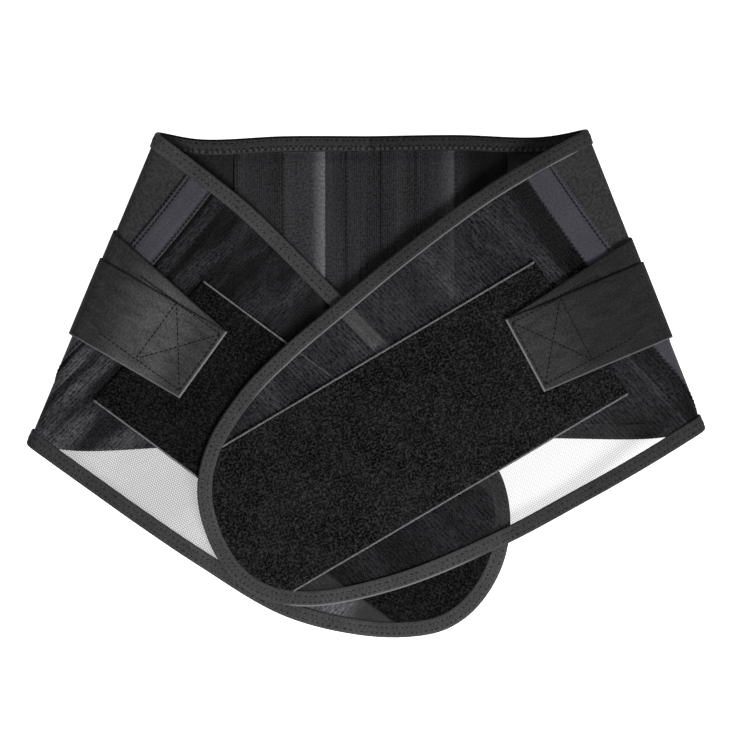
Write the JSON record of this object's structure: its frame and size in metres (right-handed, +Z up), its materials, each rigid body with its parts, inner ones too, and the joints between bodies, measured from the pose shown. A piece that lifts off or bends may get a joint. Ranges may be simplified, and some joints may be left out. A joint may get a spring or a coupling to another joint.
{
  "type": "lumbar support belt",
  "caption": "Lumbar support belt laid flat: ribbed back panel, elastic sides, two sheer net wings folded over it with loop pile panels, bound edges and elastic side straps.",
  "frame": {"origin": "middle of the belt's box, on the floor that it lies on", "axes": "+X to the right of the belt as laid, which is the wearer's own order from the right side to the left; +Y towards its upper edge; +Z up from the floor"},
  "size_m": [0.5232, 0.3924, 0.0281],
  "materials": {
    "panel": "black knitted panel cloth with stitched stay channels",
    "elastic": "smooth dark grey elastic cloth",
    "net": "sheer black net",
    "tape": "grey satin channel tape",
    "loop": "dense matt black loop pile",
    "binding": "dark grey folded edge tape with zigzag stitching",
    "strap": "ribbed dark grey elastic webbing",
    "hook": "black hook tape"
  },
  "bodies": {
    "root": {"back_panel": "panel", "stay_channel_left_wide": "panel", "stay_channel_left_narrow": "panel", "stay_channel_right_narrow": "panel", "stay_channel_right_wide": "panel", "side_elastic_left": "elastic", "side_elastic_right": "elastic", "wing_net_left": "net", "wing_net_right": "net", "side_channel_left": "tape", "side_channel_right": "tape", "loop_panel_left": "loop", "loop_panel_right": "loop", "edge_binding_left": "binding", "edge_binding_right": "binding", "strap_upper_left": "strap", "strap_lower_left": "strap", "strap_hook_left": "hook", "strap_upper_right": "strap", "strap_lower_right": "strap", "strap_hook_right": "hook"}
  },
  "joints": []
}
